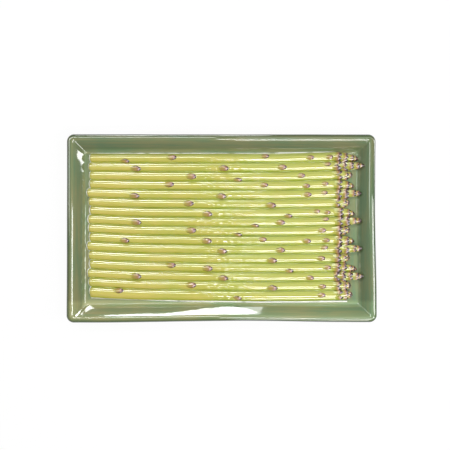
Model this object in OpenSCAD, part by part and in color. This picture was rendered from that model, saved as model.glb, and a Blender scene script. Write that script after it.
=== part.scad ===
// Oblong serving dish of glazed earthenware. Its well is filled with a bundle of asparagus
// spears in relief, laid side by side with their cut butts at the left wall and their tips
// at the right one. +X runs along the spears to their tips, +Y to the back, and the dish
// stands on its foot ring at Z = 0.

/* [Dish] */
// Overall length, along the spears
dish_l = 330; // [300:1:360]
// Overall width, across the spears
dish_w = 200; // [180:1:220]
// Overall height, from the foot to the crest of the rim
dish_h = 20; // [19:0.5:23]
// Outer corner radius, seen from above
corner_r = 8; // [6:0.5:12]
// Corner radius of the flat floor
floor_corner_r = 2; // [1:0.5:3]
// Run of the rim and the sloping wall, from the outer edge to the flat floor
wall_run = 21; // [20:0.5:26]
// Thickness of the sloping wall
wall_t = 6; // [5:0.5:7]
// Thickness of the floor
floor_t = 5.5; // [4.5:0.5:7]
// Radius of the rolled rim, whose bead stands out over the wall
rim_r = 4; // [3.5:0.1:4.5]
// Radius of the rim's inner shoulder
shoulder_r = 4.8; // [4.2:0.1:5.5]
// Radius of the hollow where the wall runs into the floor
hollow_r = 5; // [4:0.5:7]
// Radius under the dish, where the outer wall turns into the base
base_r = 5; // [3:0.5:7]

/* [Foot] */
// Height of the foot ring
foot_h = 2.5; // [2:0.5:4]
// Width of the foot ring's band
foot_w = 6; // [4:0.5:8]
// Distance from the dish's outer edge to the foot ring
foot_inset = 18; // [16:0.5:22]
// Outer corner radius of the foot ring
foot_corner_r = 9; // [7:0.5:14]

/* [Spears] */
// How many spears lie side by side
spear_count = 16; // [16]
// Strip of floor left bare between the bundle and the front wall
front_gap = 2.2; // [1:0.1:3]
// Height of a spear's crest above the floor
crest_h = 5.5; // [5:0.1:6.5]
// Height of the groove between two spears above the floor
groove_h = 2.1; // [1.6:0.1:2.5]
// Radius of the groove between two spears
groove_r = 0.9; // [0.6:0.1:1.1]
// Radius of the rounded edge round a spear's cut butt
butt_r = 2.4; // [1.5:0.1:3]
// How far the butts stand in and out of line
butt_step = 3.2; // [1:0.1:5]
// How far the longest head climbs the right wall
climb = 10.7; // [4:0.1:11]
// Length of the longest head, from its root to its end
head_l = 31; // [28:0.5:36]
// How far a stalk runs on inside its head
head_root = 1.5; // [1:0.1:2]
// Length of the taper at which the groove runs out between two heads
groove_run_out = 4; // [2:0.5:6]

/* [Scale leaves] */
// Length of the largest scale leaf on a stalk
leaf_l = 11; // [9:0.5:13]
// Its width
leaf_w = 6.2; // [5:0.1:7]
// How far its end stands proud of the stalk
leaf_rise = 1.2; // [0.6:0.1:1.4]
// Length of the largest scale leaf of a head, with its buried root
bud_l = 8; // [7:0.1:9]
// Its width
bud_w = 5.2; // [4.5:0.1:5.8]
// How far its end stands proud of the head
bud_rise = 1; // [0.8:0.1:1.2]
// Distance between two rings of a head's scale leaves
bud_pitch = 4.8; // [4.4:0.1:6]

/* [Hidden] */
$fn = 48;
// One overrun serves every cut
overrun = 1;
// What is pressed against the next spear stops this far short of it
rub_gap = 0.04;
// Faces of the revolved forms, along a profile
arc_steps = 6;
corner_steps = 7;
head_steps = 9;

// Glaze colours
sage = [0.46, 0.52, 0.38];
bare_clay = [0.86, 0.82, 0.74];
spear_green = [0.76, 0.78, 0.40];
leaf_mauve = [0.52, 0.36, 0.31];

floor_z = foot_h + floor_t;
floor_l = dish_l - 2 * wall_run;
floor_w = dish_w - 2 * wall_run;
pitch = (floor_w - front_gap) / spear_count;
spear_l = floor_l + climb;
butt_x = -floor_l / 2;
head_x = butt_x + spear_l - head_l;

// The crest's radius is the one that runs tangent into the groove's radius at half the pitch
groove_drop = crest_h - groove_h - groove_r;
stalk_r = (pow(pitch / 2, 2) + pow(groove_drop, 2) - pow(groove_r, 2)) / (2 * (groove_r + groove_drop));
axis_h = crest_h - stalk_r;
axis_z = floor_z + axis_h;
// The two radii meet here, less a hair, so that no sliver of the flank is left between them
flank_share = 0.99;
flank_h = flank_share * (axis_h + stalk_r * (groove_h + groove_r - axis_h) / (stalk_r + groove_r));

// A head's radius at its root, and how much it swells from there, as shares of the stalk's
head_root_share = 1.03;
head_swell_share = 0.07;
// How blunt a head is: the powers of its profile
long_head_power = 2.2;
short_head_power = 4;
head_end_power = 0.6;
// Where each spear's tip ends, as a share of the longest spear, from the back to the front
tip_shares = [0.977, 1, 0.957, 0.963, 0.988, 0.947, 0.966, 0.991,
              0.948, 0.963, 0.991, 0.947, 0.970, 0.997, 0.952, 0.957];
// How far each butt stands in from the left end of the floor, as a share of butt_step
butt_shares = [0.9, 0.6, 0.9, 0.8, 0, 0.6, 0.9, 0.3, 0.5, 0.8, 0, 0.6, 0.8, 0.2, 0.6, 0.9];
// Heads under this share of the longest spear are short and blunt
short_tip_share = 0.96;
// Heads over this share climb the right wall
long_tip_share = 0.98;
// How far a middling head leans to the spear in front, and a long one lifts, in degrees
head_lean = 6;
head_climb = 12;
// Under a head that climbs, a slimmer belly fills the hollow of the wall: its radius and its
// lift, as shares of the head's
belly_share = 0.85;
belly_lift_share = 0.45;

// The scale leaves of each stalk, from the back to the front: where the leaf ends, as a share
// of the longest spear, how far round the stalk to the front it sits, in degrees, and its
// size as a share of the full one
leaf_shares = [
    [[0.154, 50, 0.9], [0.323, -10, 0.9], [0.656, -27, 0.8], [0.817, 4, 0.75], [0.885, 4, 0.7]],
    [[0.195, 28, 1], [0.511, 17, 1], [0.719, 0, 0.9], [0.878, -27, 0.7]],
    [[0.394, 3, 1], [0.559, 56, 0.9], [0.785, -4, 0.8]],
    [[0.314, -13, 0.95], [0.652, -7, 0.8], [0.803, 14, 0.75], [0.869, -10, 0.7]],
    [[0.190, 30, 1], [0.502, 26, 1], [0.808, 7, 0.8], [0.866, -14, 0.7]],
    [[0.385, 0, 1], [0.681, 23, 1]],
    [[0.452, 20, 1], [0.740, 48, 0.85], [0.839, -14, 0.65], [0.876, 4, 0.65]],
    [[0.197, 20, 1], [0.620, 56, 0.85], [0.713, 4, 0.9], [0.871, -33, 0.7]],
    [[0.394, -7, 1], [0.559, 56, 0.85], [0.860, -4, 0.8]],
    [[0.154, 28, 0.95], [0.450, 14, 1], [0.647, -14, 0.8], [0.806, 14, 0.8], [0.873, 7, 0.7]],
    [[0.505, 27, 1], [0.713, 7, 0.9], [0.867, -20, 0.7]],
    [[0.685, 27, 1], [0.857, 0, 0.8]],
    [[0.321, -27, 0.95], [0.453, 14, 1], [0.744, 46, 0.85], [0.878, 0, 0.75]],
    [[0.197, 14, 1], [0.509, 20, 1], [0.817, 14, 0.8]],
    [[0.394, -7, 1], [0.686, 27, 1], [0.860, 7, 0.75]],
    [[0.133, -33, 0.95], [0.559, 50, 1], [0.858, 0, 0.8]]
];

// The scale leaves of a head sit in rings, three and two by turns, in degrees round its axis
bud_ring_angles = [[-62, 0, 62], [-31, 31]];
// A scale leaf's size at the end of a head, as a share of its size at the root
bud_end_share = 0.65;
// The radius of a scale leaf's skin, as a share of the round that it sits on
leaf_round_share = 0.9;
// How steeply the skin lifts from that round, on a stalk and on a head, in degrees
leaf_lift = 5.5;
bud_lift = 9.5;

function node_name(prefix, i) = str(prefix, i < 10 ? "0" : "", i);

// The Y of a spear's axis: the first lies against the back wall
function spear_y(i) = floor_w / 2 - (i - 0.5) * pitch;

// The wall's slope: a line tangent to the shoulder's round from above and the hollow's from below
shoulder_c = [rim_r, dish_h - shoulder_r];
hollow_c = [wall_run, floor_z + hollow_r];
span = hollow_c - shoulder_c;
slope = asin((shoulder_r + hollow_r) / norm(span)) - atan2(span[1], span[0]);
// Into the well, square to that slope, and up along it
wall_normal = [sin(slope), cos(slope)];
wall_up = [-cos(slope), sin(slope)];
// The outer wall runs up into the underside of the bead, and down into the base
rim_c = [rim_r, dish_h - rim_r];
rim_to_outer = wall_t - shoulder_r + (rim_c - shoulder_c) * wall_normal;
bead_angle = 270 - slope + acos(rim_to_outer / rim_r);
outer_top = rim_c - rim_to_outer * wall_normal - sqrt(rim_r * rim_r - rim_to_outer * rim_to_outer) * wall_up;
base_meet = [outer_top[0] + (outer_top[1] - foot_h) / tan(slope), foot_h];
base_c = [base_meet[0] + base_r * tan(slope / 2), foot_h + base_r];

// An arc about c, from angle a0 to a1, as points of [run from the outer edge, height]
function arc(c, r, a0, a1, steps) =
    [for (k = [0 : steps]) let (a = a0 + (a1 - a0) * k / steps) c + r * [cos(a), sin(a)]];

// From the crest of the rim down the inner wall to the edge of the floor
inner_profile = concat(
    arc(shoulder_c, shoulder_r, 90, 90 - slope, arc_steps),
    arc(hollow_c, hollow_r, 270 - slope, 270, arc_steps)
);
// From the edge of the base up the outer wall and over the rim, to just short of its crest
outer_profile = concat(
    arc(base_c, base_r, 270, 270 - slope, arc_steps),
    [for (k = [0 : 2 * arc_steps - 1]) arc(rim_c, rim_r, bead_angle, 90, 2 * arc_steps)[k]]
);
dish_profile = concat(outer_profile, inner_profile);

// The corner radius shrinks from the outer edge to the floor, and stays full outside the rim
function ring_corner(run) =
    corner_r + (floor_corner_r - corner_r) * min(1, run / wall_run);

function ring(run, z) =
    let (r = ring_corner(run), cx = dish_l / 2 - run - r, cy = dish_w / 2 - run - r)
    [for (q = [0 : 3]) for (k = [0 : corner_steps])
        let (a = 90 * (q + k / corner_steps), sx = (q == 0 || q == 3) ? 1 : -1, sy = q < 2 ? 1 : -1)
        [sx * cx + r * cos(a), sy * cy + r * sin(a), z]];

// A closed skin over rings that all have the same number of points
module skin(rings) {
    n = len(rings[0]);
    last = len(rings) - 1;
    walls = [for (j = [0 : last - 1]) for (k = [0 : n - 1])
        let (m = (k + 1) % n)
        for (face = [[j * n + k, j * n + m, (j + 1) * n + m], [j * n + k, (j + 1) * n + m, (j + 1) * n + k]])
            face];
    first_cap = [for (k = [n - 1 : -1 : 0]) k];
    last_cap = [for (k = [0 : n - 1]) last * n + k];
    polyhedron([for (r = rings) each r], [for (f = concat([first_cap], walls, [last_cap])) [for (k = [len(f) - 1 : -1 : 0]) f[k]]]);
}

// The pressed body: flat floor, sloping walls with mitred corners and a rolled rim
module dish() {
    color(sage) skin([for (p = dish_profile) ring(p[0], p[1])]);
}

module rounded_plan(l, w, r) {
    square([l, w - 2 * r], center = true);
    square([l - 2 * r, w], center = true);
    for (x = [-1, 1], y = [-1, 1]) translate([x * (l / 2 - r), y * (w / 2 - r)]) circle(r);
}

// The ring of unglazed clay under the floor, which the dish stands on
module foot_ring() {
    foot_l = dish_l - 2 * foot_inset;
    foot_wide = dish_w - 2 * foot_inset;
    color(bare_clay) linear_extrude(foot_h) difference() {
        rounded_plan(foot_l, foot_wide, foot_corner_r);
        rounded_plan(foot_l - 2 * foot_w, foot_wide - 2 * foot_w, foot_corner_r - foot_w);
    }
}

// The room that a head and the leaves of one spear have between its neighbours
module own_strip(i) {
    room = pitch - 2 * rub_gap;
    translate([butt_x, spear_y(i) - room / 2, floor_z]) cube([dish_l, room, dish_h]);
}

// The right wall, as the bar that a climbing head rests on
module right_wall() {
    rotate([90, 0, 0]) linear_extrude(floor_w, center = true) polygon(concat(
        [for (p = inner_profile) [dish_l / 2 - p[0], p[1]]],
        [[dish_l / 2 - wall_run, floor_z - overrun], [dish_l / 2, floor_z - overrun], [dish_l / 2, dish_h]]
    ));
}

// A stalk's cross-section: a round crest that runs out into half a groove on each side
module stalk_section() {
    difference() {
        union() {
            translate([0, axis_h]) circle(stalk_r);
            translate([-pitch / 2, 0]) square([pitch, flank_h]);
        }
        for (side = [-1, 1]) translate([side * pitch / 2, groove_h + groove_r]) circle(groove_r);
        translate([-pitch / 2 - overrun, -dish_h]) square([pitch + 2 * overrun, dish_h]);
    }
}

// A bar along +X with the stalk's section or, for its crest alone, the round of it
module stalk_bar(l, crest_only = false) {
    rotate([90, 0, 90]) linear_extrude(l) {
        if (crest_only) intersection() {
            translate([0, axis_h]) circle(stalk_r);
            translate([-pitch / 2, 0]) square([pitch, crest_h]);
        }
        else stalk_section();
    }
}

// The butt's rounded edge, as a block that keeps what lies inside it
module butt_block(l) {
    linear_extrude(crest_h) {
        translate([butt_r, -pitch / 2]) square([l, pitch]);
        translate([0, butt_r - pitch / 2]) square([l, pitch - 2 * butt_r]);
        for (y = [-1, 1]) translate([butt_r, y * (pitch / 2 - butt_r)]) circle(butt_r);
    }
}

module butt_side(l) {
    rotate([90, 0, 0]) linear_extrude(pitch + 2 * overrun, center = true) {
        translate([butt_r, 0]) square([l, crest_h]);
        square([l, crest_h - butt_r]);
        translate([butt_r, crest_h - butt_r]) circle(butt_r);
    }
}

// The stalk, from its cut butt into the root of its head. Its grooves run out in a taper.
module stalk(i) {
    x0 = butt_x + butt_step * butt_shares[i - 1];
    l = head_x + head_root - x0;
    translate([x0, spear_y(i), floor_z]) intersection() {
        union() {
            difference() {
                stalk_bar(l);
                translate([l, -pitch, 0]) rotate([0, -atan2(groove_run_out, groove_h + groove_r), 0])
                    cube([l, 2 * pitch, dish_h]);
            }
            stalk_bar(l, crest_only = true);
        }
        butt_block(l + overrun);
        butt_side(l + overrun);
    }
}

function is_short(i) = tip_shares[i - 1] < short_tip_share;
function is_long(i) = tip_shares[i - 1] > long_tip_share;
// A head's length
function head_length(i) = head_l - spear_l * (1 - tip_shares[i - 1]);
// A head's radius at t, the share of its length
function head_radius(i, t) =
    stalk_r * (head_root_share + head_swell_share * sin(180 * sqrt(t)))
    * pow(1 - pow(t, is_short(i) ? short_head_power : long_head_power), head_end_power);

// Turns what is drawn along +Z to a head's own axis, from its root
module along_head(i, lift_share = 1) {
    translate([head_x, spear_y(i), axis_z])
        rotate([0, is_long(i) ? -head_climb * lift_share : 0, is_short(i) || is_long(i) ? 0 : -head_lean])
            rotate([0, 90, 0]) children();
}

module head_round(i, girth_share = 1) {
    l = head_length(i);
    rotate_extrude() polygon(concat(
        [[0, 0]],
        [for (k = [0 : head_steps]) let (t = sin(90 * k / head_steps)) [girth_share * head_radius(i, t), t * l]]
    ));
}

module head(i) {
    along_head(i) head_round(i);
    if (is_long(i)) along_head(i, belly_lift_share) head_round(i, belly_share);
}

// One spear without its scale leaves: the stalk with its head, seated on the floor
module spear_body(i) {
    difference() {
        union() {
            stalk(i);
            intersection() {
                head(i);
                own_strip(i);
            }
        }
        if (is_long(i)) right_wall();
    }
}

module spear(i) {
    color(spear_green) spear_body(i);
}

// A scale leaf's outline, pointed at both ends, along Y
module leaf_outline(l, w) {
    edge_r = (l * l + w * w) / (4 * w);
    intersection_for (side = [-1, 1]) translate([side * (edge_r - w / 2), 0]) circle(edge_r);
}

// A leaf on a round of radius r about +Z, turned phi degrees to the front. Its skin is a
// smaller round tilted by lift, so that the leaf grows out of the stalk at its root and
// stands proud by rise at its end, which lies at Z = 0.
module seated_leaf(r, l, w, rise, lift, phi) {
    skin_r = leaf_round_share * r;
    rotate([0, 0, phi]) intersection() {
        translate([-r - rise, 0, 0]) rotate([0, -lift, 0]) translate([skin_r, 0, -2 * l]) cylinder(r = skin_r, h = 3 * l);
        translate([-r - 2 * rise, 0, -l / 2]) rotate([90, 0, 90]) linear_extrude(r) leaf_outline(l, w);
    }
}

// The scale leaves along a stalk
module stalk_leaves(i) {
    for (leaf = leaf_shares[i - 1])
        translate([butt_x + spear_l * leaf[0], spear_y(i), axis_z]) rotate([0, 90, 0])
            seated_leaf(stalk_r, leaf_l * leaf[2], leaf_w * leaf[2], leaf_rise, leaf_lift, leaf[1]);
}

// The overlapping scale leaves of a head, in rings from its root to its end
module head_leaves(i) {
    l = head_length(i);
    rings = floor(l / bud_pitch);
    for (j = [1 : rings]) {
        t = (j - 0.1) / (rings + 0.5);
        size = 1 + (bud_end_share - 1) * t;
        r = head_radius(i, t);
        fall = atan2(head_radius(i, t - 0.5 / rings) - r, 0.5 * l / rings);
        for (phi = bud_ring_angles[j % 2]) along_head(i) translate([0, 0, t * l])
            seated_leaf(r, bud_l * size, bud_w * size, bud_rise * size, bud_lift - fall, phi);
    }
}

module scales(i) {
    color(leaf_mauve) difference() {
        intersection() {
            union() {
                stalk_leaves(i);
                head_leaves(i);
            }
            own_strip(i);
        }
        spear_body(i);
        if (is_long(i)) right_wall();
    }
}

dish();
foot_ring();
for (i = [1 : spear_count]) {
    spear(i);
    scales(i);
}
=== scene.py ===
import math
import random

import bmesh
import bpy
from mathutils import Matrix, Vector


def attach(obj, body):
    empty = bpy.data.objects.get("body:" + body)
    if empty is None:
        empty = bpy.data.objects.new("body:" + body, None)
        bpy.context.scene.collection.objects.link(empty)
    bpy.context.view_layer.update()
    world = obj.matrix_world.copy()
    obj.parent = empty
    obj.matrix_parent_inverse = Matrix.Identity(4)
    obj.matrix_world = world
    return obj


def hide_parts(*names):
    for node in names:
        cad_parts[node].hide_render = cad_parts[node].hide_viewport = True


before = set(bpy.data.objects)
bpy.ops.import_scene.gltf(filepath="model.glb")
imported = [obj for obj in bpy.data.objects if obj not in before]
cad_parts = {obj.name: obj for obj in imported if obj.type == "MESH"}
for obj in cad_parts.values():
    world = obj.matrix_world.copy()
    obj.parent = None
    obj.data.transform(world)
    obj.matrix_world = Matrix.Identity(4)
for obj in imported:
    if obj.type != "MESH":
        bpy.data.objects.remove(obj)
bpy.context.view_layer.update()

mm = 0.001


# View. The dish is seen from straight above through a long lens, with the spears' tips to the
# right. Its outline fills two thirds of the photograph's width.
photo_width = 450
pixel = 1.067 * mm
view_centre = Vector((4.3, 2.8)) * mm
view_height = 20 * mm
overhead = bpy.data.cameras.new("overhead_view")
overhead.lens = 100
overhead.sensor_width = 36
camera = bpy.data.objects.new("overhead_view", overhead)
camera.location = (*view_centre, view_height + photo_width * pixel * overhead.lens / overhead.sensor_width)
bpy.context.scene.collection.objects.link(camera)
bpy.context.scene.camera = camera
bpy.context.scene.view_settings.view_transform = "Standard"


# Studio table. A matt white sheet of paper, so pale that it melts into the white round the
# dish. It keeps only the soft shadow under the rim.
def linear(hex_colour):
    """Turns an sRGB hex colour to the linear one that a shader socket takes."""
    parts = [int(hex_colour[k:k + 2], 16) / 255 for k in (1, 3, 5)]
    return (*[c / 12.92 if c <= 0.04045 else ((c + 0.055) / 1.055) ** 2.4 for c in parts], 1)


def add_node(tree, kind, inputs=None, stops=None, **settings):
    """Adds a shader node. An input is a plain value, a colour, or the socket that it is linked to."""
    made = tree.nodes.new("ShaderNode" + kind)
    for name, value in settings.items():
        setattr(made, name, value)
    for name, value in (inputs or {}).items():
        if isinstance(value, bpy.types.NodeSocket):
            tree.links.new(value, made.inputs[name])
        else:
            made.inputs[name].default_value = linear(value) if isinstance(value, str) else value
    for k, (place, colour) in enumerate(stops or []):
        stop = made.color_ramp.elements[k] if k < 2 else made.color_ramp.elements.new(place)
        stop.position = place
        stop.color = linear(colour)
    return made


def new_material(name):
    """An empty material, and its node tree."""
    material = bpy.data.materials.new(name)
    material.use_nodes = True
    material.node_tree.nodes.clear()
    return material, material.node_tree


def put_last(pieces, material):
    """Gives the pieces this material and no other."""
    for piece in pieces:
        piece.data.materials.clear()
        piece.data.materials.append(material)


bpy.ops.object.select_all(action="DESELECT")
bpy.ops.mesh.primitive_plane_add(size=6)
table = bpy.context.object
table.name = "studio_table"
paper_sheet, tree = new_material("paper_sheet")
seen = add_node(tree, "LightPath").outputs
seen_plainly = seen["Is Camera Ray"]
for ray in ("Is Glossy Ray", "Is Transmission Ray"):
    seen_plainly = add_node(tree, "Math", {0: seen_plainly, 1: seen[ray]}, operation="MAXIMUM").outputs[0]
whiteness = add_node(tree, "Math", {0: seen_plainly, 1: 0.94}, operation="MULTIPLY")
paper = add_node(tree, "BsdfDiffuse", {"Color": "#F2F2F2"})
white = add_node(tree, "Emission", {"Strength": 1})
sheet = add_node(tree, "MixShader", {0: whiteness.outputs[0], 1: paper.outputs[0], 2: white.outputs[0]})
add_node(tree, "OutputMaterial", {"Surface": sheet.outputs[0]})
put_last([table], paper_sheet)


# Studio light. Dim white walls all round and twelve soft boxes: four overhead, one high beside
# either end, four low at the back, one low in front and one low at the right. The glaze mirrors
# each of them as a line or a patch.
studio_walls = bpy.data.worlds.new("studio_walls")
bpy.context.scene.world = studio_walls
studio_walls.use_nodes = True
studio_walls.node_tree.nodes.clear()
tree = studio_walls.node_tree
seen = add_node(tree, "LightPath").outputs
shown = add_node(tree, "Background", {"Color": "#FFFFFF", "Strength": 1})
soft = add_node(tree, "Background", {"Color": "#FFFFFF", "Strength": 0.22})
both = add_node(tree, "MixShader", {0: seen["Is Camera Ray"], 1: soft.outputs[0], 2: shown.outputs[0]})
add_node(tree, "OutputWorld", {"Surface": both.outputs[0]})

# Each lamp, in metres: where it hangs, what it points at, its width and height, and then its
# roll in degrees and its watts
lamps = {
    "lamp_over_left": ((-0.44, 0.37, 0.82), (-0.44, 0, 0), 0.86, 0.11, 0, 3.3),
    "lamp_over_right": ((0.50, 0.43, 0.84), (0.50, 0, 0), 0.94, 0.18, 0, 0.9),
    "lamp_over_front": ((0.44, -0.39, 0.80), (0.44, 0, 0), 0.88, 0.10, 0, 4.9),
    "lamp_over_end": ((0.44, -0.05, 0.84), (0.44, 0, 0), 0.18, 0.20, 0, 0.9),
    "lamp_right_window": ((0.90, -0.08, 0.74), (0, -0.08, 0), 0.24, 0.36, 0, 2.8),
    "lamp_low_front": ((0.17, -1.00, 0.52), (0.17, 0, 0), 0.28, 0.18, 0, 1.6),
    "lamp_beside_butts": ((-0.80, 0.20, 0.72), (-0.10, 0, 0), 0.40, 0.50, 0, 2.0),
    "lamp_behind_strip": ((-0.096, 1.08, 0.32), (-0.1, 0, 0), 0.35, 0.12, 38, 1.5),
    "lamp_behind_left": ((-0.188, 1.08, 0.33), (-0.188, 0, 0), 0.13, 0.10, 6, 0.45),
    "lamp_behind_sheet": ((0.048, 1.08, 0.24), (0.048, 0, 0), 0.088, 0.34, -4, 0.38),
    "lamp_behind_slit": ((-0.277, 1.08, 0.17), (-0.277, 0, 0), 0.018, 0.28, -10, 0.16),
    "lamp_low_right": ((1.05, 0.255, 0.27), (0, 0.11, 0), 0.21, 0.56, -27, 3.4),
}
for name, (place, aim, width, height, roll, watts) in lamps.items():
    lamp = bpy.data.lights.new(name, "AREA")
    lamp.shape = "RECTANGLE"
    lamp.size = width
    lamp.size_y = height
    lamp.energy = watts
    hung = bpy.data.objects.new(name, lamp)
    hung.location = place
    facing = (Vector(aim) - Vector(place)).to_track_quat("-Z", "Y").to_matrix()
    hung.rotation_euler = (facing @ Matrix.Rotation(math.radians(roll), 3, "Z")).to_euler()
    bpy.context.scene.collection.objects.link(hung)


# Dish. One slab of earthenware pressed over a mould: a flat floor, four sloping walls that
# meet in mitred corners, and a rolled rim. All of it is dipped or brushed with sage glaze.
dish_length = 330 * mm
dish_width = 200 * mm
dish_height = 20 * mm
foot_height = 2.5 * mm
floor_height = foot_height + 5.5 * mm
wall_run = 21 * mm
wall_thickness = 6 * mm
rim_radius = 4 * mm
shoulder_radius = 4.8 * mm
hollow_radius = 2.5 * mm
hollow_set_in = 0.96 * mm
wall_bulge = 0.12 * mm
wall_steps = 8
base_radius = 5 * mm
outer_corner = 8 * mm
floor_corner = 1.6 * mm
corner_power = 5
corner_points = 12
weld = 0.01 * mm


def arc(centre, radius, first, last, steps):
    """Points on an arc, from the first angle to the last, in degrees."""
    angles = [math.radians(first + (last - first) * k / steps) for k in range(steps + 1)]
    return [centre + radius * Vector((math.cos(a), math.sin(a))) for a in angles]


shoulder_centre = Vector((rim_radius, dish_height - shoulder_radius))
hollow_centre = Vector((wall_run - hollow_set_in, floor_height + hollow_radius))
span = hollow_centre - shoulder_centre
slope = math.degrees(math.asin((shoulder_radius + hollow_radius) / span.length) - math.atan2(span.y, span.x))
inner_turn = math.radians(slope)
into_well = Vector((math.sin(inner_turn), math.cos(inner_turn)))
up_wall = Vector((-math.cos(inner_turn), math.sin(inner_turn)))
rim_centre = Vector((rim_radius, dish_height - rim_radius))
to_outer_wall = wall_thickness - shoulder_radius + (rim_centre - shoulder_centre).dot(into_well)
bead_start = 270 - slope + math.degrees(math.acos(to_outer_wall / rim_radius))
down_bead = math.sqrt(rim_radius ** 2 - to_outer_wall ** 2)
under_bead = rim_centre - to_outer_wall * into_well - down_bead * up_wall
base_edge = under_bead.x + (under_bead.y - foot_height) / math.tan(inner_turn)
base_centre = Vector((base_edge + base_radius * math.tan(inner_turn / 2), foot_height + base_radius))
outer_half = arc(base_centre, base_radius, 270, 270 - slope, 6)
outer_half += arc(rim_centre, rim_radius, bead_start, 95, 16)
inner_half = arc(shoulder_centre, shoulder_radius, 90, 90 - slope, 8)
wall_top = inner_half[-1]
wall_foot = hollow_centre - hollow_radius * into_well
for k in range(1, wall_steps):
    share = k / wall_steps
    inner_half.append(wall_top.lerp(wall_foot, share) + into_well * wall_bulge * 4 * share * (1 - share))
inner_half += arc(hollow_centre, hollow_radius, 270 - slope, 270, 8)


def pick(kind, test):
    """Selects the vertices, edges or faces of the piece in edit mode that pass the test."""
    bpy.ops.mesh.select_mode(type=kind)
    bpy.ops.mesh.select_all(action="DESELECT")
    shape = bmesh.from_edit_mesh(bpy.context.object.data)
    for part in {"VERT": shape.verts, "EDGE": shape.edges, "FACE": shape.faces}[kind]:
        if test(part):
            part.select_set(True)
    shape.select_flush_mode()
    bmesh.update_edit_mesh(bpy.context.object.data)


def ring_size(half_length, half_width, run, radius):
    """A rounded rectangle set in by run: the centre of its corner's round, and the radius."""
    return half_length - run - radius, half_width - run - radius, radius


def draw_ring(before, after, rise):
    """Extrudes the selected ring, and takes its four corners to their next place and radius."""
    bpy.ops.mesh.extrude_region_move(TRANSFORM_OT_translate={"value": (0, 0, rise)})
    shape = bmesh.from_edit_mesh(bpy.context.object.data)
    shape.verts.index_update()
    ring = {v.index for v in shape.verts if v.select}
    share = after[2] / before[2]
    for side_x in (-1, 1):
        for side_y in (-1, 1):
            pick("VERT", lambda v: v.index in ring and v.co.x * side_x > 0 and v.co.y * side_y > 0)
            centre = (side_x * before[0], side_y * before[1], 0)
            bpy.ops.transform.resize(value=(share, share, 1), center_override=centre)
            step = (side_x * (after[0] - before[0]), side_y * (after[1] - before[1]), 0)
            bpy.ops.transform.translate(value=step)
    pick("VERT", lambda v: v.index in ring)
    return ring


def start_ring(name, size, height):
    """A circle whose quarters are drawn apart to the corners of a rounded rectangle."""
    bpy.ops.object.select_all(action="DESELECT")
    turn = math.pi / (4 * corner_points)
    bpy.ops.mesh.primitive_circle_add(vertices=4 * corner_points, radius=size[2], fill_type="NGON",
                                      location=(0, 0, height), rotation=(0, 0, turn))
    piece = bpy.context.object
    piece.name = name
    bpy.ops.object.transform_apply(location=True, rotation=True, scale=True)
    bpy.ops.object.mode_set(mode="EDIT")
    for side_x in (-1, 1):
        for side_y in (-1, 1):
            pick("VERT", lambda v: (v.co.x > 0) == (side_x > 0) and (v.co.y > 0) == (side_y > 0)
                 and abs(v.co.x) <= size[2] and abs(v.co.y) <= size[2])
            bpy.ops.transform.translate(value=(side_x * size[0], side_y * size[1], 0))
    pick("FACE", lambda f: True)
    return piece


def finish_mesh(piece, smooth_angle=60):
    """Leaves edit mode with the skin closed, facing outwards and smooth."""
    bpy.ops.mesh.select_all(action="SELECT")
    bpy.ops.mesh.remove_doubles(threshold=weld)
    bpy.ops.mesh.normals_make_consistent(inside=False)
    bpy.ops.object.mode_set(mode="OBJECT")
    bpy.ops.object.shade_smooth_by_angle(angle=math.radians(smooth_angle))


def dish_ring(run):
    """The dish's outline that far in from its edge. Its corners tighten quickly down the wall."""
    to_foot = 1 - min(1, max(0, run) / wall_run)
    radius = floor_corner + (outer_corner - floor_corner) * to_foot ** corner_power
    return ring_size(dish_length / 2, dish_width / 2, run, radius)


profile = outer_half + inner_half
size = dish_ring(profile[0].x)
dish = start_ring("sage_dish", size, profile[0].y)
bmesh.from_edit_mesh(dish.data).verts.layers.float.new("down_wall")
bmesh.update_edit_mesh(dish.data)
crest_k = len(outer_half)
for k in range(1, len(profile)):
    next_size = dish_ring(profile[k].x)
    ring = draw_ring(size, next_size, profile[k].y - profile[k - 1].y)
    size = next_size
    shape = bmesh.from_edit_mesh(dish.data)
    down_wall = shape.verts.layers.float["down_wall"]
    down = (profile[k] - Vector((rim_radius, dish_height))).length * (1 if k >= crest_k else -1)
    for v in shape.verts:
        if v.index in ring:
            v[down_wall] = down
# The long sides take enough rows to be a little out of true, as a pressed slab dries
for along, rows in ((0, 70), (1, 42)):
    pick("EDGE", lambda e: abs(e.verts[0].co[along] - e.verts[1].co[along]) > dish_width / 2)
    bpy.ops.mesh.subdivide(number_cuts=rows)
finish_mesh(dish)
# Each side has drawn in by under a millimetre at its middle, and three corners have shifted:
# the place that moves, how far it does, and how far round it the clay has followed, in mm
pulls = (
    ((0, -1), (0, 0.3), 120),
    ((0, 1), (0, -0.2), 120),
    ((-1, 0), (0.2, 0), 120),
    ((1, 0), (-0.4, 0), 120),
    ((-1, -1), (-0.3, -1.7), 190),
    ((1, -1), (1.9, -1.2), 120),
    ((1, 1), (0.5, -0.3), 90),
)
held_radius = 24 * mm
bpy.ops.object.mode_set(mode="EDIT")
for place, pull, reach in pulls:
    middle = Vector((place[0] * dish_length / 2, place[1] * dish_width / 2))
    pick("VERT", lambda v: (v.co.xy - middle).length < held_radius)
    bpy.ops.transform.translate(value=(pull[0] * mm, pull[1] * mm, 0), use_proportional_edit=True,
                                proportional_edit_falloff="SMOOTH", proportional_size=reach * mm)
bpy.ops.object.mode_set(mode="OBJECT")


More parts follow.
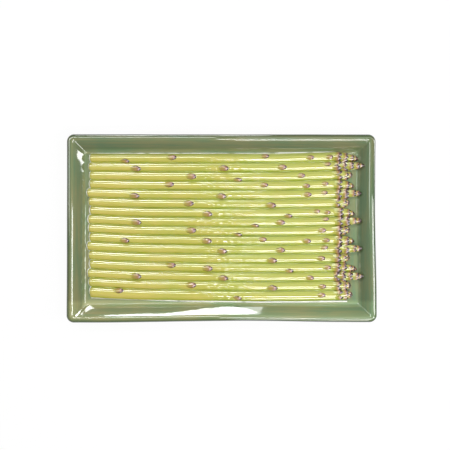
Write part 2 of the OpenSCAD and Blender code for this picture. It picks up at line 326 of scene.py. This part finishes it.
def wobble(piece, wave, depth, stretch=1):
    """Puts the soft unevenness of hand-worked clay into the mesh, drawn out along X by stretch."""
    piece.data.transform(Matrix.Diagonal((1 / stretch, 1, 1, 1)))
    clay = bpy.data.textures.new("clay_" + piece.name, "CLOUDS")
    clay.noise_scale = wave
    clay.noise_depth = 1
    bpy.context.view_layer.objects.active = piece
    uneven = piece.modifiers.new("uneven", "DISPLACE")
    uneven.texture = clay
    uneven.texture_coords = "LOCAL"
    uneven.strength = depth
    uneven.mid_level = 0.5
    bpy.ops.object.modifier_apply(modifier="uneven")
    piece.data.transform(Matrix.Diagonal((stretch, 1, 1, 1)))


slab_wave = 45 * mm
slab_unevenness = 0.3 * mm
wobble(dish, slab_wave, slab_unevenness)

# Majolica glaze, brushed on in long strokes and fired glossy. Where it lies thin it is olive,
# where it has gathered it is blue-green. Painted shade darkens it over the outer edge of the rim and down the
# walls, and painted light makes the front wall paler.
sage_glaze, tree = new_material("sage_majolica_glaze")
place = add_node(tree, "TexCoord").outputs["Object"]
axes = add_node(tree, "SeparateXYZ", {0: place}).outputs
off_x = add_node(tree, "Math", {0: axes["X"]}, operation="ABSOLUTE").outputs[0]
off_y = add_node(tree, "Math", {0: axes["Y"]}, operation="ABSOLUTE").outputs[0]
mitre = add_node(tree, "Math", {0: off_x, 1: off_y}, operation="SUBTRACT").outputs[0]
half_difference = (dish_length - dish_width) / 2
mitre_blend = 1.5 * mm
end_wall = add_node(tree, "MapRange", {
    0: mitre, 1: half_difference - mitre_blend, 2: half_difference + mitre_blend}).outputs[0]
stroke_length = 55 * mm
stroke_width = 3.2 * mm
# The brush runs along each wall: in X on the front and back ones, in Y on the end ones
both_ways = []
for size_x, size_y in ((stroke_length, stroke_width), (stroke_width, stroke_length)):
    drawn_out = add_node(tree, "Mapping", {0: place, "Scale": (1 / size_x, 1 / size_y, 1 / stroke_width)})
    bristles = {"Vector": drawn_out.outputs[0], "Scale": 1, "Detail": 5, "Roughness": 0.62}
    both_ways.append(add_node(tree, "TexNoise", bristles).outputs[0])
strokes = add_node(tree, "Mix", {0: end_wall, 2: both_ways[0], 3: both_ways[1]}).outputs[0]
patch_size = 48 * mm
patches = add_node(tree, "TexNoise", {"Vector": place, "Scale": 1 / patch_size, "Detail": 2}).outputs[0]
thickness = add_node(tree, "Mix", {0: 0.42, 2: strokes, 3: patches}).outputs[0]
# The glaze has run towards the right wall and lies thicker there
right_foot = dish_length / 2 - wall_run
gather_blend = 8 * mm
gathered = add_node(tree, "MapRange", {
    0: axes["X"], 1: right_foot - gather_blend, 2: right_foot + gather_blend, 3: 0, 4: 0.05}).outputs[0]
thickness = add_node(tree, "Math", {0: thickness, 1: gathered}, operation="ADD").outputs[0]
brushed = add_node(tree, "ValToRGB", {0: thickness}, stops=[
    (0.30, "#A09A6C"), (0.44, "#92966C"), (0.52, "#84926A"), (0.62, "#76906C"), (0.80, "#6A886A")])
wall_place = add_node(tree, "Attribute", attribute_name="down_wall").outputs["Fac"]
wall_shade_place = add_node(tree, "MapRange", {0: wall_place, 1: -6 * mm, 2: 24 * mm}).outputs[0]
# Painted shade over the wall, from the outer edge (left) past the crest (0.2) to the floor (right): darkest
# over the outer edge, the walls darker than the floor
painted_wall_shade = add_node(tree, "ValToRGB", {0: wall_shade_place}, stops=[
    (0.0, "#4C6044"), (0.09, "#66785C"), (0.17, "#BCBEB0"), (0.24, "#DEDED8"), (0.45, "#CACAC2"),
    (0.66, "#BCC0B6"), (0.88, "#FFFFFF")])
glazed = add_node(tree, "Mix", {0: 1.0, 6: brushed.outputs[0], 7: painted_wall_shade.outputs[0]},
                  data_type="RGBA", blend_type="MULTIPLY")
# The front wall faces the lamps at the back and is painted paler: painted light
front_foot = wall_run - dish_width / 2
front_light_blend = 2 * mm
front_painted_lighter = add_node(tree, "MapRange", {
    0: axes["Y"], 1: front_foot + front_light_blend, 2: front_foot - front_light_blend}).outputs[0]
glazed = add_node(tree, "HueSaturation", {"Fac": front_painted_lighter, "Value": 1.35, "Color": glazed.outputs[2]})
swell_size = 9 * mm
swell = add_node(tree, "TexNoise", {"Vector": place, "Scale": 1 / swell_size, "Detail": 1}).outputs[0]
drag = add_node(tree, "Mix", {0: 0.25, 2: swell, 3: strokes}).outputs[0]
relief = add_node(tree, "Bump", {"Height": drag, "Strength": 0.22, "Distance": 0.2 * mm})
gloss = add_node(tree, "MapRange", {0: patches, 3: 0.02, 4: 0.06})
body = add_node(tree, "BsdfPrincipled", {
    "Base Color": glazed.outputs[0], "Roughness": gloss.outputs[0], "IOR": 1.9, "Normal": relief.outputs[0]})
add_node(tree, "OutputMaterial", {"Surface": body.outputs[0]})
put_last([dish], sage_glaze)
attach(dish, "root")
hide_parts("dish")


# Foot ring. A low band of the same clay under the floor, wiped clean of glaze before firing
# so that the dish doesn't stick to the kiln shelf. It is ground flat where it stands.
foot_inset = 18 * mm
foot_width = 6 * mm
foot_corner = 9 * mm
foot_edge = 0.7 * mm
hair = 0.001 * mm


def foot_size(run):
    """The outline of the foot ring, that far in from its outer side."""
    return ring_size(dish_length / 2 - foot_inset, dish_width / 2 - foot_inset, run, foot_corner - run)


foot_steps = [Vector((foot_edge, 0))]
foot_steps += arc(Vector((foot_edge, foot_edge)), foot_edge, 240, 180, 3)
foot_steps += [Vector((0, foot_height))]
foot_steps += [Vector((foot_width, foot_height))]
foot_steps += arc(Vector((foot_width - foot_edge, foot_edge)), foot_edge, 0, -90, 4)
foot = start_ring("bare_foot_ring", foot_size(foot_steps[0].x), foot_steps[0].y)
bpy.ops.mesh.delete(type="ONLY_FACE")
pick("VERT", lambda v: True)
for was, now in zip(foot_steps, foot_steps[1:]):
    draw_ring(foot_size(was.x), foot_size(now.x), now.y - was.y)
pick("VERT", lambda v: v.co.z < hair)
bpy.ops.mesh.bridge_edge_loops()
for along, rows in ((0, 40), (1, 24)):
    pick("EDGE", lambda e: abs(e.verts[0].co[along] - e.verts[1].co[along]) > dish_width / 2)
    bpy.ops.mesh.subdivide(number_cuts=rows)
finish_mesh(foot, 40)

# Biscuit-fired earthenware: buff and dry to the eye, with grog and iron specks.
bare_clay, tree = new_material("bare_earthenware")
place = add_node(tree, "TexCoord").outputs["Object"]
cloud_size = 14 * mm
cloud = add_node(tree, "TexNoise", {"Vector": place, "Scale": 1 / cloud_size, "Detail": 4}).outputs[0]
clay_colour = add_node(tree, "ValToRGB", {0: cloud}, stops=[(0.35, "#C9B899"), (0.65, "#DDD0B5")])
grain_size = 0.7 * mm
grain = add_node(tree, "TexNoise", {"Vector": place, "Scale": 1 / grain_size, "Detail": 2}).outputs[0]
specks = add_node(tree, "MapRange", {0: grain, 1: 0.66, 2: 0.72, 4: 0.6}).outputs[0]
speckled = add_node(tree, "Mix", {0: specks, 6: clay_colour.outputs[0], 7: "#8A6A4C"}, data_type="RGBA")
pits = add_node(tree, "Bump", {"Height": grain, "Strength": 0.6, "Distance": 0.12 * mm})
body = add_node(tree, "BsdfPrincipled", {
    "Base Color": speckled.outputs[2], "Roughness": 0.85, "IOR": 1.5, "Normal": pits.outputs[0]})
add_node(tree, "OutputMaterial", {"Surface": body.outputs[0]})
put_last([foot], bare_clay)
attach(foot, "root")
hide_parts("foot_ring")


# Spears. Sixteen asparagus spears, moulded in relief on the floor. Each is a round stalk from
# a rounded cut butt at the left to a head at the right. Grooves part them.
spear_count = 16
floor_length = dish_length - 2 * wall_run
floor_width = dish_width - 2 * wall_run
front_gap = 2.2 * mm
pitch = (floor_width - front_gap) / spear_count
crest = 5.5 * mm
groove = 2.1 * mm
groove_radius = 0.4 * mm
butt_radius = 2.4 * mm
butt_step = 3.2 * mm
butt_rounding = 5
butt_narrowing = 1.4
spear_length = floor_length + 10.7 * mm
longest_head = 31 * mm
butt_x = -floor_length / 2
head_x = butt_x + spear_length - longest_head
drop = crest - groove - groove_radius
stalk_radius = ((pitch / 2) ** 2 + drop ** 2 - groove_radius ** 2) / (2 * (groove_radius + drop))
axis_height = floor_height + crest - stalk_radius
sunk = 0.4 * mm
pressed_in = 0.6 * mm
into_head = 1.5 * mm
head_rings = 14
left_bow = 8.3 * mm
belly_swell = 1.6 * mm
head_fan = 1.6 * mm
butt_spread = 1.9 * mm
tip_spread = 0.8 * mm
tip_shares = [
    0.977, 1, 0.957, 0.963, 0.988, 0.947, 0.966, 0.991,
    0.948, 0.963, 0.991, 0.947, 0.970, 0.997, 0.952, 0.957,
]
butt_shares = [0.9, 0.6, 0.9, 0.8, 0, 0.6, 0.9, 0.3, 0.5, 0.8, 0, 0.6, 0.8, 0.2, 0.6, 0.9]
short_share = 0.96
long_share = 0.98


def spear_y(i):
    """The Y of a spear's axis. Spear 1 lies at the back, pressed a little into the wall's foot."""
    return floor_width / 2 + pressed_in - (i - 0.5) * pitch


def draw_line(name, points, closed):
    """A piece that is only an outline of edges, open in edit mode with all of it selected."""
    bpy.ops.object.select_all(action="DESELECT")
    outline = bpy.data.meshes.new(name)
    edges = [(k, k + 1) for k in range(len(points) - 1)] + ([(len(points) - 1, 0)] if closed else [])
    outline.from_pydata(points, edges, [])
    piece = bpy.data.objects.new(name, outline)
    bpy.context.scene.collection.objects.link(piece)
    bpy.context.view_layer.objects.active = piece
    piece.select_set(True)
    bpy.ops.object.mode_set(mode="EDIT")
    bpy.ops.mesh.select_all(action="SELECT")
    return piece


def join_all(pieces, name):
    """Joins the pieces to one, under that name."""
    bpy.ops.object.select_all(action="DESELECT")
    for piece in pieces:
        piece.select_set(True)
    bpy.context.view_layer.objects.active = pieces[0]
    bpy.ops.object.join()
    pieces[0].name = name
    return pieces[0]


# A stalk's section: the round of its back and front, run out into half a groove on each side
axis_point = Vector((0, axis_height))
groove_low = floor_height + groove + groove_radius
flank = math.degrees(math.atan2(groove_low - axis_height, pitch / 2))
section = arc(Vector((-pitch / 2, groove_low)), groove_radius, -90, -flank, 4)
section += arc(axis_point, stalk_radius, 180 - flank, flank, 22)
section += arc(Vector((pitch / 2, groove_low)), groove_radius, 180 + flank, 270, 4)
section += [Vector((pitch / 2, floor_height - sunk)), Vector((-pitch / 2, floor_height - sunk))]
stalk_pattern = draw_line("stalk_pattern", [(head_x + into_head, p.x, p.y) for p in section], True)
stalk_end = butt_x + butt_radius
bpy.ops.mesh.extrude_region_move(TRANSFORM_OT_translate={"value": (stalk_end - head_x - into_head, 0, 0)})
pick("EDGE", lambda e: abs(e.verts[0].co.x - e.verts[1].co.x) > longest_head)
bpy.ops.mesh.subdivide(number_cuts=110)
# The butt's edge is rounded over in small steps, nearly to a right angle
pick("VERT", lambda v: v.co.x < stalk_end + hair)
was = (0, pitch / 2, crest)
for k in range(1, butt_rounding + 1):
    turn = math.radians(80 * k / butt_rounding)
    inward = butt_radius * (1 - math.cos(turn))
    now = (butt_radius * math.sin(turn), pitch / 2 - butt_narrowing * inward, crest - inward)
    bpy.ops.mesh.extrude_region_move(TRANSFORM_OT_translate={"value": (was[0] - now[0], 0, 0)})
    smaller = (1, now[1] / was[1], now[2] / was[2])
    bpy.ops.transform.resize(value=smaller, center_override=(0, 0, floor_height - sunk))
    was = now
bpy.ops.mesh.edge_face_add()
pick("VERT", lambda v: v.co.x > head_x)
bpy.ops.mesh.edge_face_add()
finish_mesh(stalk_pattern, 50)


def head_size(i):
    """The length of a head. All heads start at one place, so a shorter spear has a shorter head."""
    return longest_head - spear_length * (1 - tip_shares[i - 1])


def head_radius(i, t):
    """The radius of a head at t, the share of its length from its root."""
    power = 4 if tip_shares[i - 1] < short_share else 2.2
    return stalk_radius * (1.03 + 0.07 * math.sin(math.pi * math.sqrt(t))) * (1 - t ** power) ** 0.6


def head_frame(i):
    """Where a head's root is, its own axis, and the way that is up from it."""
    lean = 0 if not short_share <= tip_shares[i - 1] <= long_share else math.radians(-6)
    lift = math.radians(12) if tip_shares[i - 1] > long_share else 0
    forward = Vector((math.cos(lean) * math.cos(lift), math.sin(lean), math.sin(lift))).normalized()
    return Vector((head_x, spear_y(i), axis_height)), forward


def make_head(i):
    """Turns a head on its own axis, as on a lathe."""
    root, forward = head_frame(i)
    upward = Vector((0, 0, 1))
    upward = (upward - upward.dot(forward) * forward).normalized()
    line = [root]
    for k in range(head_rings + 1):
        share = math.sin(math.pi / 2 * k / head_rings)
        line.append(root + forward * head_size(i) * share + upward * head_radius(i, share))
    head = draw_line("head", [tuple(p) for p in line], False)
    bpy.ops.mesh.spin(steps=28, angle=2 * math.pi, center=root, axis=forward)
    finish_mesh(head)
    return head


def mark_tip(head, i):
    """Notes on each vertex of a head how far along its painted end it lies."""
    root, forward = head_frame(i)
    notes = head.data.attributes.new("leaf_end", "FLOAT", "POINT")
    painted_from = 0.66 if tip_shares[i - 1] > long_share else 0.78
    for note, v in zip(notes.data, head.data.vertices):
        note.value = max(0, (v.co - root).dot(forward) / head_size(i) - painted_from) / 0.22


def settle(piece):
    """The bundle lies in a slight bow: its left end curves to the back, its belly swells to the
    front, and at the right end the heads fan out."""
    for v in piece.data.vertices:
        front = max(0, min(1, 0.5 - v.co.y / floor_width))
        along = -v.co.x / butt_x
        left = left_bow * max(0, -along - 0.45) ** 1.5 * (1 - (1 - front) ** 3)
        belly = belly_swell * max(0, 1 - ((along - 0.4) / 0.8) ** 2) * front
        fan = head_fan * min(1, max(0, along - 0.45) / 0.4) * (1 - front)
        v.co.y += left - belly + fan


def mark_across(piece, i):
    """Notes on each vertex how far it lies from the spear's middle, towards the front groove."""
    notes = piece.data.attributes.new("across", "FLOAT", "POINT")
    for note, v in zip(notes.data, piece.data.vertices):
        note.value = max(-1, min(1, (spear_y(i) - v.co.y) / (pitch / 2)))


def spread_front(spear):
    """The front spear spreads a little over the floor towards the wall, most at its left end."""
    for v in spear.data.vertices:
        flank = max(0, spear_y(spear_count) - v.co.y) / (pitch / 2)
        v.co.y -= flank * (butt_spread + (tip_spread - butt_spread) * (v.co.x - butt_x) / spear_length)


spear_wave = 12 * mm
spear_unevenness = 0.42 * mm
spear_stretch = 3.5
spears = []
for i in range(1, spear_count + 1):
    stalk = bpy.data.objects.new("stalk", stalk_pattern.data.copy())
    bpy.context.scene.collection.objects.link(stalk)
    shift = butt_step * butt_shares[i - 1]
    for v in stalk.data.vertices:
        v.co.x += shift * (head_x - v.co.x) / (head_x - butt_x) if v.co.x < head_x else 0
        v.co.y += spear_y(i)
    head = make_head(i)
    mark_tip(head, i)
    spear = join_all([stalk, head], f"asparagus_spear_{i:02d}")
    mark_across(spear, i)
    wobble(spear, spear_wave, spear_unevenness, spear_stretch)
    if i == spear_count:
        spread_front(spear)
    settle(spear)
    spears.append(spear)
    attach(spear, "root")
    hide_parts(f"spear_{i:02d}")
bpy.data.objects.remove(stalk_pattern)


# Glaze seam. Where the relief meets the walls the sage glaze has crept back in the fire, and
# a thin raised seam of the clear, pale ground glaze shows round the bundle. Its near-white colour is partly a
# painted highlight.
seam_radius = 0.8 * mm
seam_inset = 0.3 * mm
butt_round = 3.4 * mm
past_butts = 2 * mm
past_front = 2.3 * mm
past_heads = 12 * mm
back_edge = floor_width / 2 + pressed_in
front_edge = spear_y(spear_count) - pitch / 2 - past_front
seam_turn = butt_x + butt_step + past_butts
seam_path = [(head_x, back_edge), (seam_turn, back_edge)]
for i in range(1, spear_count + 1):
    butt_end = butt_x + butt_step * butt_shares[i - 1]
    for turn in (62, 35, 0, -35, -62):
        around = math.radians(turn)
        seam_x = butt_end + (1 - math.cos(around)) * butt_round - seam_inset
        seam_path.append((seam_x, spear_y(i) + math.sin(around) * pitch / 2))
seam_path += [(seam_turn, front_edge), (head_x + past_heads, front_edge)]
seam = draw_line("glaze_seam", [(x, y, floor_height + seam_radius * 0.7) for x, y in seam_path], False)
bpy.ops.mesh.subdivide(number_cuts=2)
bpy.ops.object.mode_set(mode="OBJECT")
bpy.ops.object.convert(target="CURVE")
seam.data.bevel_depth = seam_radius
seam.data.bevel_resolution = 2
seam.data.use_fill_caps = True
bpy.ops.object.convert(target="MESH")
settle(seam)
bpy.ops.object.shade_smooth()

# Clear ground glaze over pale clay, green where the sage has bled into it. Its near-white is
# partly a painted highlight, for the glints in the corner between relief and wall, and it is painted brighter
# towards the front.
seam_glaze_and_highlight, tree = new_material("pale_seam_glaze_and_highlight")
place = add_node(tree, "TexCoord").outputs["Object"]
crept_size = 12 * mm
seam_paleness = add_node(tree, "TexNoise", {"Vector": place, "Scale": 1 / crept_size, "Detail": 3}).outputs[0]
seam_paleness = add_node(tree, "MapRange", {0: seam_paleness, 1: 0.3, 2: 0.7}).outputs[0]
place_y = add_node(tree, "SeparateXYZ", {0: place}).outputs["Y"]
seam_highlight_full_y = -40 * mm
# Painted highlight: the seam is painted paler towards the front
seam_highlight_frontward = add_node(tree, "MapRange", {
    0: place_y, 1: floor_width / 2, 2: seam_highlight_full_y, 3: 0.2, 4: 0.4}).outputs[0]
seam_paleness = add_node(tree, "Math", {0: seam_paleness, 1: seam_highlight_frontward}, operation="ADD", use_clamp=True).outputs[0]
seam_tone_and_highlight = add_node(tree, "ValToRGB", {0: seam_paleness}, stops=[
    (0.0, "#84906C"), (0.3, "#A6AC94"), (0.6, "#DCDED2"), (0.85, "#F6F6F0")])
body = add_node(tree, "BsdfPrincipled", {"Base Color": seam_tone_and_highlight.outputs[0], "Roughness": 0.05, "IOR": 1.9})
add_node(tree, "OutputMaterial", {"Surface": body.outputs[0]})
put_last([seam], seam_glaze_and_highlight)
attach(seam, "root")


# Scale leaves. Small pointed leaves that lie along each stalk and overlap round its head.
# Each grows out of the clay at its root and stands proud at its tip.
leaf_length = 12.5 * mm
leaf_width = 7.9 * mm
leaf_rise = 1.6 * mm
bud_length = 11.6 * mm
bud_width = 7.8 * mm
bud_rise = 1.3 * mm
bud_pitch = 7.2 * mm
bud_bare_share = 0.3
tightest_wrap = 2.6 * mm
# How far the leaves in a head's odd and even rings are turned to the front, in degrees
odd_turns = (-34, 31)
even_turns = (-64, -3, 60)
# Each leaf on a stalk: the place of its tip along the spear, its turn to the front and its size
leaf_places = [
    [(0.154, 50, 0.9), (0.323, -10, 0.9), (0.656, -27, 0.8), (0.817, 4, 0.75), (0.885, 4, 0.7)],
    [(0.195, 28, 1), (0.511, 17, 1), (0.719, 0, 0.9), (0.878, -27, 0.7)],
    [(0.394, 3, 1), (0.559, 56, 0.9), (0.785, -4, 0.8)],
    [(0.314, -13, 0.95), (0.652, -7, 0.8), (0.803, 14, 0.75), (0.869, -10, 0.7)],
    [(0.190, 30, 1), (0.502, 26, 1), (0.808, 7, 0.8), (0.866, -14, 0.7)],
    [(0.385, 0, 1), (0.681, 23, 1)],
    [(0.452, 20, 1), (0.740, 48, 0.85), (0.839, -14, 0.65), (0.876, 4, 0.65)],
    [(0.197, 20, 1), (0.620, 56, 0.85), (0.713, 4, 0.9), (0.871, -33, 0.7)],
    [(0.394, -7, 1), (0.559, 56, 0.85), (0.860, -4, 0.8)],
    [(0.154, 28, 0.95), (0.450, 14, 1), (0.647, -14, 0.8), (0.806, 14, 0.8), (0.873, 7, 0.7)],
    [(0.505, 27, 1), (0.713, 7, 0.9), (0.867, -20, 0.7)],
    [(0.685, 27, 1), (0.857, 0, 0.8)],
    [(0.321, -27, 0.95), (0.453, 14, 1), (0.744, 46, 0.85), (0.878, 0, 0.75)],
    [(0.197, 14, 1), (0.509, 20, 1), (0.817, 14, 0.8)],
    [(0.394, -7, 1), (0.686, 27, 1), (0.860, 7, 0.75)],
    [(0.133, -33, 0.95), (0.559, 50, 1), (0.858, 0, 0.8)],
]

# One leaf is modelled a unit long and wide, with its tip at the origin: a ball drawn out along
# X, then each of its rings is given the leaf's width there and lifted off the stalk
bpy.ops.object.select_all(action="DESELECT")
bpy.ops.mesh.primitive_uv_sphere_add(segments=14, ring_count=12, radius=0.5, location=(-0.5, 0, 0),
                                     rotation=(0, math.pi / 2, 0))
leaf_pattern = bpy.context.object
leaf_pattern.name = "leaf_pattern"
bpy.ops.object.transform_apply(location=True, rotation=True, scale=True)
bpy.ops.object.mode_set(mode="EDIT")
for k in range(1, 12):
    ring_x = -0.5 - 0.5 * math.cos(math.pi * k / 12)
    share = 1 + ring_x
    ball_width = 2 * math.sqrt(0.25 - (share - 0.5) ** 2)
    pointed_width = (1 - share ** 3.6) ** 0.6 * min(1, 1.5 * share ** 0.55)
    pick("VERT", lambda v: abs(v.co.x - ring_x) < 0.001)
    bpy.ops.transform.resize(value=(1, pointed_width / ball_width, 1), center_override=(ring_x, 0, 0))
finish_mesh(leaf_pattern)
tip_notes = leaf_pattern.data.attributes.new("leaf_end", "FLOAT", "POINT")
rim_notes = leaf_pattern.data.attributes.new("leaf_edge", "FLOAT", "POINT")
for k, v in enumerate(leaf_pattern.data.vertices):
    tip_notes.data[k].value = 1 + v.co.x
    rim_notes.data[k].value = 1 - v.co.z / max(0.02, math.sqrt(max(0, -v.co.x * (1 + v.co.x))))


def lay_leaf(root, forward, along, radius_at, length, width, rise, turn, bare=0):
    """Wraps a copy of the leaf round the stalk or head, with its tip at that place. The bare share
    of it, from its root, keeps the colour of the stalk."""
    leaf = bpy.data.objects.new("leaf", leaf_pattern.data.copy())
    bpy.context.scene.collection.objects.link(leaf)
    side = Vector((0, 0, 1)).cross(forward).normalized()
    upward = forward.cross(side)
    for v in leaf.data.vertices:
        share = 1 + v.co.x
        skin = rise * min(1, 1.4 * share) * max(0, v.co.z) * 2 - 0.9 * rise * max(0, -v.co.z) * 2
        place = along + v.co.x * length
        out = radius_at(place) + skin
        angle = math.radians(turn) + v.co.y * width / max(out, tightest_wrap)
        v.co = root + forward * place + out * (math.cos(angle) * upward - math.sin(angle) * side)
    for note in leaf.data.attributes["leaf_end"].data:
        note.value = max(0, note.value - bare) / (1 - 1.7 * bare)
    return leaf


def on_stalk(place):
    """The radius that a leaf on a stalk lies on. It is the same all along."""
    return stalk_radius


def on_head(place):
    """The radius that a leaf on the head in hand lies on, that far from the head's root."""
    return head_radius(i, max(0, min(0.985, place / head_length)))


leaf_groups = []
chance = random.Random(16)
for i in range(1, spear_count + 1):
    leaves = []
    start = Vector((butt_x, spear_y(i), axis_height))
    for share, turn, size_share in leaf_places[i - 1]:
        leaves.append(lay_leaf(start, Vector((1, 0, 0)), spear_length * share, on_stalk,
                               leaf_length * size_share, leaf_width * size_share, leaf_rise, turn))
    root, forward = head_frame(i)
    head_length = head_size(i)
    rings = int(head_length / bud_pitch)
    slid = chance.uniform(-0.6, 2.2) * mm
    for j in range(1, rings + 2):
        t = min(0.97, (j - 0.1) / (rings + 0.5))
        for turn in odd_turns if j % 2 else even_turns:
            own_share = (1 - 0.4 * t) * chance.uniform(0.92, 1.25)
            along = t * head_length + (slid + chance.uniform(-1.1, 0.8) * mm) * (1 - t)
            own_rise = bud_rise * chance.uniform(0.8, 1.3) * own_share
            own_turn = turn + chance.uniform(-10, 10)
            leaves.append(lay_leaf(root, forward, along, on_head, bud_length * own_share,
                                   bud_width * own_share, own_rise, own_turn, bud_bare_share))
    group = join_all(leaves, f"scale_leaves_{i:02d}")
    mark_across(group, i)
    settle(group)
    leaf_groups.append(group)
    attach(group, "root")
    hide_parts(f"scales_{i:02d}")
bpy.data.objects.remove(leaf_pattern)

# Clear yellow-green majolica glaze over cream clay, brushed along the spears. It is warm at the
# left, ochre down their fronts and green where it has run into the grooves; the paler band on their
# backs, just past the groove, is a painted reflection. On the leaves the same glaze ends in a mauve tip
# with a dark purple-brown edge, laid on by brush, and a painted olive shadow lies round each leaf's foot.
# A last, clear coat gives the sharp glints.
streak_length = 60 * mm
streak_width = 1.5 * mm
shade_size = 22 * mm
rag_size = 1.6 * mm
ripple_size = 5 * mm
warm_end = -120 * mm
fresh_end = 70 * mm
calm_reach = 160 * mm
glaze_coats = (
    ("asparagus_majolica_glaze", spears, False),
    ("leaf_tip_majolica_glaze", leaf_groups, True),
)
for name, pieces, is_leaf in glaze_coats:
    glaze, tree = new_material(name)
    place = add_node(tree, "TexCoord").outputs["Object"]
    streak_scale = (1 / streak_length, 1 / streak_width, 1 / streak_width)
    along = add_node(tree, "Mapping", {0: place, "Scale": streak_scale})
    streaks = add_node(tree, "TexNoise", {"Vector": along.outputs[0], "Scale": 1, "Detail": 4}).outputs[0]
    patches = add_node(tree, "TexNoise", {"Vector": place, "Scale": 1 / shade_size, "Detail": 2}).outputs[0]
    across = add_node(tree, "Attribute", attribute_name="across").outputs["Fac"]
    streak_shift = add_node(tree, "MapRange", {0: streaks, 1: 0.3, 2: 0.7, 3: -0.14, 4: 0.14}).outputs[0]
    where = add_node(tree, "Math", {0: across, 1: streak_shift}, operation="ADD").outputs[0]
    where = add_node(tree, "MapRange", {0: where, 1: -1, 2: 1}).outputs[0]
    warm = add_node(tree, "ValToRGB", {0: where}, stops=[
        (0.0, "#9CA434"), (0.06, "#A6A84C"), (0.2, "#A8A44A"), (0.45, "#BCB454"), (0.62, "#C8BC5C"),
        (0.78, "#C8B85C"), (0.88, "#BEB24C"), (0.96, "#A6A638"), (1.0, "#98A034")])
    # On the right the stops just past the back groove are paler: a painted reflection of the lamps behind
    fresh = add_node(tree, "ValToRGB", {0: where}, stops=[
        (0.0, "#8C9E2E"), (0.06, "#B0B860"), (0.2, "#B2B85A"), (0.45, "#ACAE46"), (0.62, "#B0B04C"),
        (0.78, "#B0B24A"), (0.88, "#A8B240"), (0.96, "#96A434"), (1.0, "#889A2C")])
    place_x = add_node(tree, "SeparateXYZ", {0: place}).outputs["X"]
    rightward = add_node(tree, "MapRange", {
        0: place_x, 1: warm_end, 2: fresh_end, 3: 0.1, 4: 0.95}).outputs[0]
    loose = add_node(tree, "MapRange", {0: patches, 1: 0.35, 2: 0.65, 3: -0.3, 4: 0.3}).outputs[0]
    rightward = add_node(tree, "Math", {0: rightward, 1: loose}, operation="ADD", use_clamp=True).outputs[0]
    colour = add_node(tree, "Mix", {0: rightward, 6: warm.outputs[0], 7: fresh.outputs[0]},
                      data_type="RGBA").outputs[2]
    leaf_end = add_node(tree, "Attribute", attribute_name="leaf_end").outputs["Fac"]
    ragged = add_node(tree, "TexNoise", {"Vector": place, "Scale": 1 / rag_size, "Detail": 2}).outputs[0]
    ragged = add_node(tree, "MapRange", {0: ragged, 3: 0.78, 4: 1.22}).outputs[0]
    end = add_node(tree, "Math", {0: leaf_end, 1: ragged}, operation="MULTIPLY").outputs[0]
    shade = add_node(tree, "ValToRGB", {0: end}, stops=[
        (0.12, "#A29E3C"), (0.32, "#A69040"), (0.56, "#A6884A"), (0.69, "#9C7258"), (0.76, "#A88076"),
        (0.83, "#643E36"), (0.90, "#402420")])
    cover = add_node(tree, "MapRange", {0: end, 1: 0.03, 2: 0.2}).outputs[0]
    colour = add_node(tree, "Mix", {0: cover, 6: colour, 7: shade.outputs[0]}, data_type="RGBA").outputs[2]
    if is_leaf:
        # The leaf's edge is darkened: purple-brown glaze towards its tip, and a painted olive shadow round
        # its foot
        leaf_edge = add_node(tree, "Attribute", attribute_name="leaf_edge").outputs["Fac"]
        rim_and_shadow_share = add_node(tree, "MapRange", {0: leaf_edge, 1: 0.30, 2: 0.54}).outputs[0]
        rim_and_shadow_share = add_node(tree, "Math", {0: rim_and_shadow_share, 1: cover}, operation="MULTIPLY").outputs[0]
        rim_colour_and_shadow = add_node(tree, "ValToRGB", {0: end}, stops=[
            (0.25, "#7A7830"), (0.52, "#604830"), (0.75, "#38201E")])
        colour = add_node(tree, "Mix", {0: rim_and_shadow_share, 6: colour, 7: rim_colour_and_shadow.outputs[0]},
                          data_type="RGBA").outputs[2]
    ripple = add_node(tree, "TexNoise", {"Vector": place, "Scale": 1 / ripple_size, "Detail": 1}).outputs[0]
    drag = add_node(tree, "Mix", {0: 0.2, 2: ripple, 3: streaks}).outputs[0]
    # The glaze is smooth at the left, and runs in short ripples about the middle
    calm = add_node(tree, "MapRange", {0: place_x, 1: -calm_reach, 2: calm_reach}).outputs[0]
    calm = add_node(tree, "ValToRGB", {0: calm}, stops=[
        (0.34, "#282828"), (0.45, "#FFFFFF"), (0.60, "#FFFFFF"), (0.69, "#484848")])
    drag = add_node(tree, "Math", {0: drag, 1: calm.outputs[0]}, operation="MULTIPLY").outputs[0]
    relief = add_node(tree, "Bump", {"Height": drag, "Strength": 0.5, "Distance": 0.8 * mm})
    gloss = add_node(tree, "MapRange", {0: patches, 3: 0.03, 4: 0.07})
    body = add_node(tree, "BsdfPrincipled", {
        "Base Color": colour, "Roughness": gloss.outputs[0], "IOR": 1.95, "Normal": relief.outputs[0],
        "Coat Weight": 0.4, "Coat Roughness": 0.02, "Coat IOR": 1.9, "Coat Normal": relief.outputs[0]})
    add_node(tree, "OutputMaterial", {"Surface": body.outputs[0]})
    put_last(pieces, glaze)
